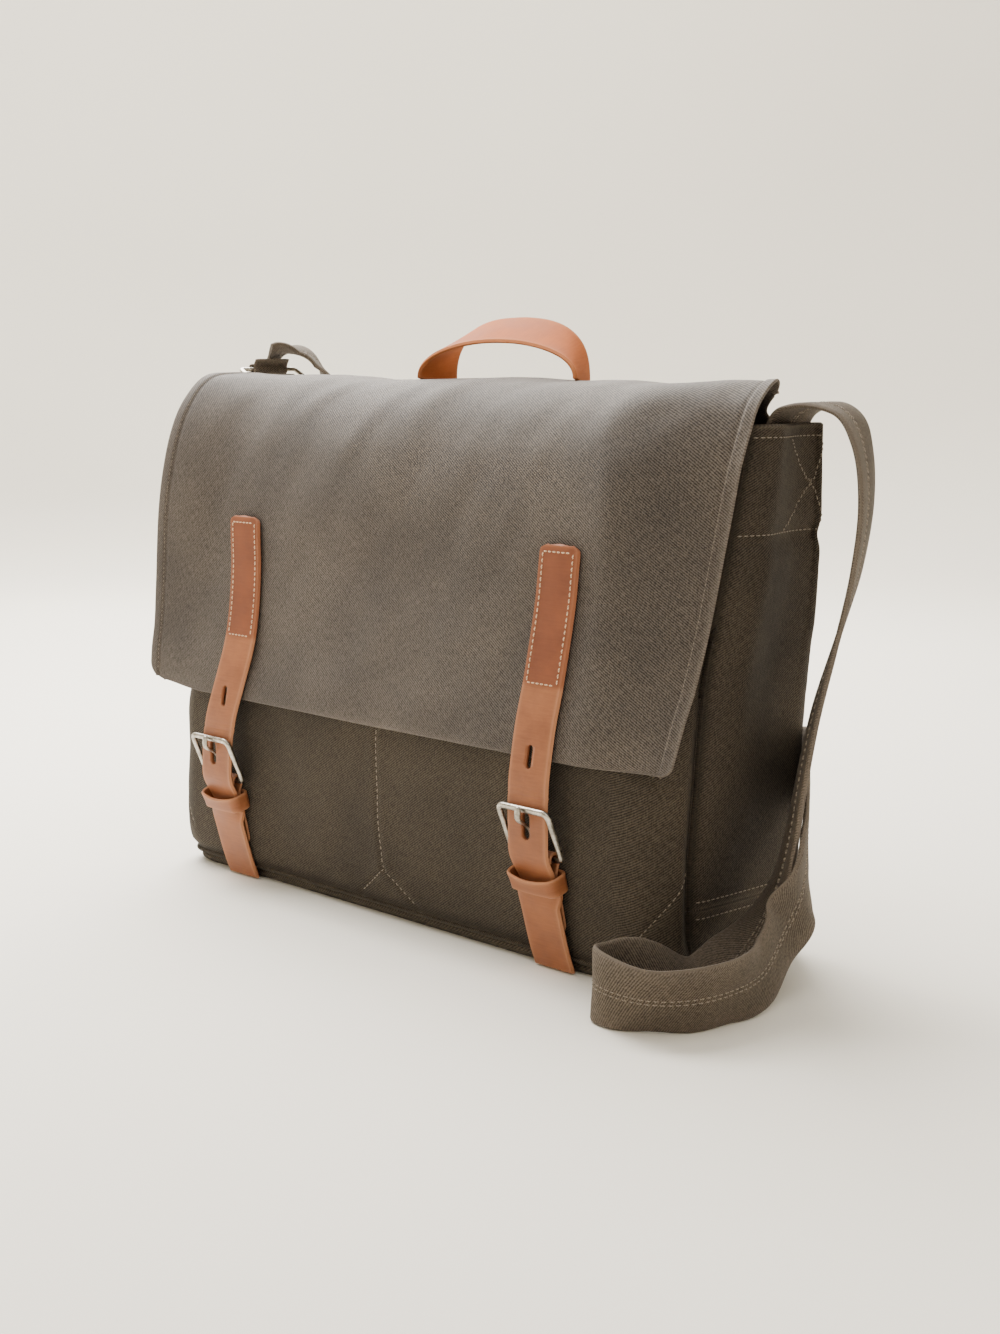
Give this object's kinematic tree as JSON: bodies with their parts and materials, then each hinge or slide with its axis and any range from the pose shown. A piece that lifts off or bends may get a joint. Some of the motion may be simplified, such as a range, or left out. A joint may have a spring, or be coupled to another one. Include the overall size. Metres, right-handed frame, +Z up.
{
  "type": "satchel bag",
  "caption": "Canvas satchel with a front flap fastened by leather buckle straps, a top leather handle and a shoulder strap lying beside it.",
  "frame": {"origin": "middle of the base, on the surface that the bag stands on", "axes": "+X to the right seen from the front, -Y out of the front with the buckles, +Z up"},
  "size_m": [0.503, 0.2022, 0.3298],
  "materials": {
    "body_canvas": "washed twill canvas",
    "flap_canvas": "washed twill canvas",
    "lining_cloth": "plain cotton",
    "stiffener": "fibreboard",
    "strap_leather": "smooth tan",
    "handle_leather": "smooth light tan",
    "nickel": "aged nickel"
  },
  "bodies": {
    "bag": {"base_panel": "body_canvas", "base_board": "stiffener", "base_piping": "body_canvas", "front_panel": "body_canvas", "back_panel": "body_canvas", "gusset_left": "body_canvas", "gusset_right": "body_canvas", "gusset_foot_left": "body_canvas", "gusset_foot_right": "body_canvas", "lining": "lining_cloth", "mouth_facing": "body_canvas", "inner_pocket": "lining_cloth", "anchor_patch_left": "body_canvas", "anchor_patch_right": "body_canvas", "buckle_tab_left": "strap_leather", "buckle_tab_right": "strap_leather", "keeper_left": "strap_leather", "keeper_right": "strap_leather", "lower_strap_left": "strap_leather", "lower_strap_right": "strap_leather", "shoulder_strap": "body_canvas", "strap_tab": "body_canvas"},
    "flap_rear": {"flap_top": "flap_canvas", "handle": "handle_leather", "handle_backing": "body_canvas"},
    "flap_drop": {"flap_front": "flap_canvas", "flap_facing": "lining_cloth", "flap_strap_left": "strap_leather", "flap_strap_right": "strap_leather"},
    "left_buckle": {"buckle_frame_left": "nickel"},
    "right_buckle": {"buckle_frame_right": "nickel"},
    "left_prong": {"buckle_prong_left": "nickel"},
    "right_prong": {"buckle_prong_right": "nickel"},
    "ring": {"strap_ring": "nickel", "strap_end": "body_canvas"}
  },
  "joints": [
    {"name": "flap_hinge", "type": "hinge", "parent": "bag", "child": "flap_rear", "pos_m": [0, 0.057, 0.277], "axis": [-1, 0, 0], "range_deg": [0, 75]},
    {"name": "flap_bend", "type": "hinge", "parent": "flap_rear", "child": "flap_drop", "pos_m": [0, -0.009, 0.2978], "axis": [-1, 0, 0], "range_deg": [0, 90], "deforming": ["flap_strap_left", "flap_strap_right"]},
    {"name": "left_buckle_swing", "type": "hinge", "parent": "bag", "child": "left_buckle", "pos_m": [-0.127, -0.0702, 0.0615], "axis": [1, 0, 0], "range_deg": [0, 60]},
    {"name": "left_prong_swing", "type": "hinge", "parent": "left_buckle", "child": "left_prong", "pos_m": [-0.127, -0.0702, 0.0615], "axis": [1, 0, 0], "range_deg": [0, 45]},
    {"name": "right_buckle_swing", "type": "hinge", "parent": "bag", "child": "right_buckle", "pos_m": [0.127, -0.0702, 0.0615], "axis": [1, 0, 0], "range_deg": [0, 60]},
    {"name": "right_prong_swing", "type": "hinge", "parent": "right_buckle", "child": "right_prong", "pos_m": [0.127, -0.0702, 0.0615], "axis": [1, 0, 0], "range_deg": [0, 45]},
    {"name": "ring_swing", "type": "hinge", "parent": "bag", "child": "ring", "pos_m": [-0.2185, 0.0395, 0.294], "axis": [0, 1, 0], "range_deg": [0, 6]}
  ]
}
